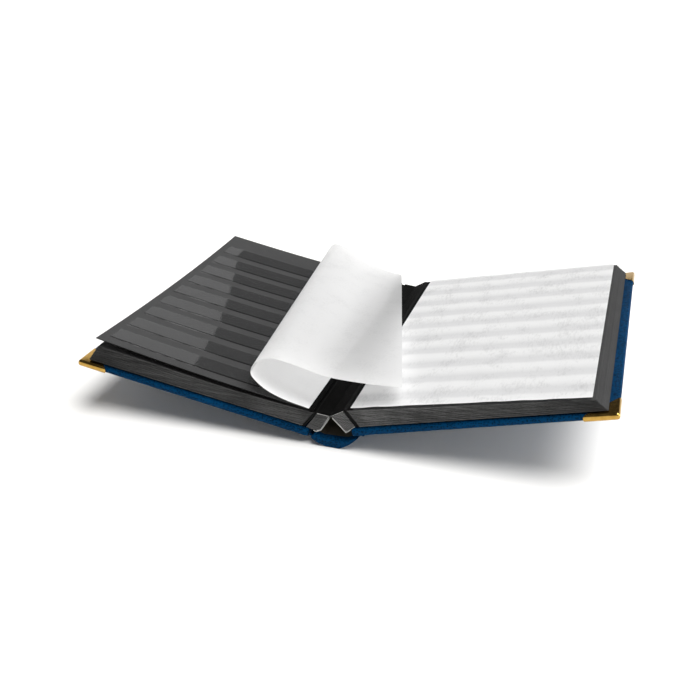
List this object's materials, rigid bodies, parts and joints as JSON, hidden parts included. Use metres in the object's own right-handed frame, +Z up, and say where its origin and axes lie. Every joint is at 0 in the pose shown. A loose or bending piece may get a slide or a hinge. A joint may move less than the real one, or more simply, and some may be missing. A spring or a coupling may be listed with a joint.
{
  "type": "stamp album",
  "caption": "Padded stamp stockbook lying open: black card leaves with clear strips, glassine interleaves, linen gutter, grained cover with metal corners.",
  "frame": {"origin": "centre of the bounding box in X and Y, at the level of the spine's foot in Z, which is the lowest point of the open album", "axes": "+X to the right across the open spread, the longest extent; +Y from the reader's edge to the far edge, along the spine; +Z up, the shortest extent"},
  "size_m": [0.473, 0.3064, 0.0798],
  "materials": {
    "leatherette": "padded grained leatherette, dark blue, satin",
    "board": "plain grey board, matte",
    "foam": "soft open foam sheet, matte",
    "pastedown": "black paper, matte",
    "gilt_metal": "thin stamped sheet, polished gilt",
    "linen": "black linen tape, matte",
    "mull": "white open-weave gauze, matte",
    "glassine": "translucent glassine paper, satin",
    "clear_film": "thin clear film, glossy",
    "black_card": "black card, matte"
  },
  "bodies": {
    "spine": {"spine_skin": "leatherette", "spine_foam": "foam", "spine_board": "board", "front_joint_cloth": "linen", "rear_joint_cloth": "linen"},
    "left_leaves": {"left_leaves_02_03": "black_card", "left_leaves_04_05": "black_card", "left_leaves_06_07": "black_card", "left_leaves_08_09": "black_card", "left_leaves_10_11": "black_card", "left_leaves_12_13": "black_card", "left_leaves_14_15": "black_card", "left_leaves_16": "black_card", "left_stub": "black_card", "left_gutter_linen": "linen", "left_linen_hinge": "linen", "left_mull_lining": "mull", "curled_interleaf_base": "glassine"},
    "right_leaves": {"right_leaves_01_02": "black_card", "right_leaves_03_04": "black_card", "right_leaves_05_06": "black_card", "right_leaves_07_08": "black_card", "right_leaves_09_10": "black_card", "right_leaves_11_12": "black_card", "right_leaves_13_14": "black_card", "right_leaves_15_16": "black_card", "right_stub": "black_card", "right_gutter_linen": "linen", "right_linen_hinge": "linen", "right_mull_lining": "mull", "right_interleaf": "glassine"},
    "front_cover": {"front_board": "board", "front_foam_padding": "foam", "front_pastedown": "pastedown", "front_cover_skin": "leatherette", "front_cover_corner_front": "gilt_metal", "front_cover_corner_back": "gilt_metal"},
    "rear_cover": {"rear_board": "board", "rear_foam_padding": "foam", "rear_pastedown": "pastedown", "rear_cover_skin": "leatherette", "rear_cover_corner_front": "gilt_metal", "rear_cover_corner_back": "gilt_metal"},
    "turning_leaf": {"turning_leaf": "black_card", "clear_strip_1": "clear_film", "clear_strip_2": "clear_film", "clear_strip_3": "clear_film", "clear_strip_4": "clear_film", "clear_strip_5": "clear_film", "clear_strip_6": "clear_film", "clear_strip_7": "clear_film", "clear_strip_8": "clear_film", "clear_strip_9": "clear_film"},
    "curled_interleaf": {"curled_interleaf_flap": "glassine"}
  },
  "joints": [
    {"name": "album_close", "type": "hinge", "parent": "spine", "child": "left_leaves", "pos_m": [-0.00524, 0, 0.01992], "axis": [0, 1, 0], "range_deg": [0, 78]},
    {"name": "front_cover_close", "type": "hinge", "parent": "spine", "child": "front_cover", "pos_m": [-0.00641, 0, 0.01948], "axis": [0, 1, 0], "range_deg": [0, 78]},
    {"name": "right_half_close", "type": "hinge", "parent": "spine", "child": "right_leaves", "pos_m": [0.01746, 0, 0.02795], "axis": [0, 1, 0], "range_deg": [-78, 0]},
    {"name": "rear_cover_close", "type": "hinge", "parent": "spine", "child": "rear_cover", "pos_m": [0.01864, 0, 0.02751], "axis": [0, 1, 0], "range_deg": [-78, 0]},
    {"name": "interleaf_unfold", "type": "hinge", "parent": "left_leaves", "child": "curled_interleaf", "pos_m": [-0.07074, 0, 0.05172], "axis": [0, 1, 0], "range_deg": [-170, 0], "deforming": ["curled_interleaf_flap", "curled_interleaf_base"]},
    {"name": "leaf_turn", "type": "hinge", "parent": "left_leaves", "child": "turning_leaf", "pos_m": [-0.012, 0, 0.0308], "axis": [0, -1, 0], "range_deg": [-153, 0], "deforming": ["turning_leaf", "clear_strip_1", "clear_strip_2", "clear_strip_3", "clear_strip_4", "clear_strip_5", "clear_strip_6", "clear_strip_7", "clear_strip_8", "clear_strip_9"]}
  ],
  "couplings": [
    {"joint": "front_cover_close", "follows": "album_close", "ratio": 1},
    {"joint": "right_half_close", "follows": "album_close", "ratio": -1},
    {"joint": "rear_cover_close", "follows": "album_close", "ratio": -1},
    {"joint": "interleaf_unfold", "follows": "album_close", "ratio": -2.1795}
  ]
}
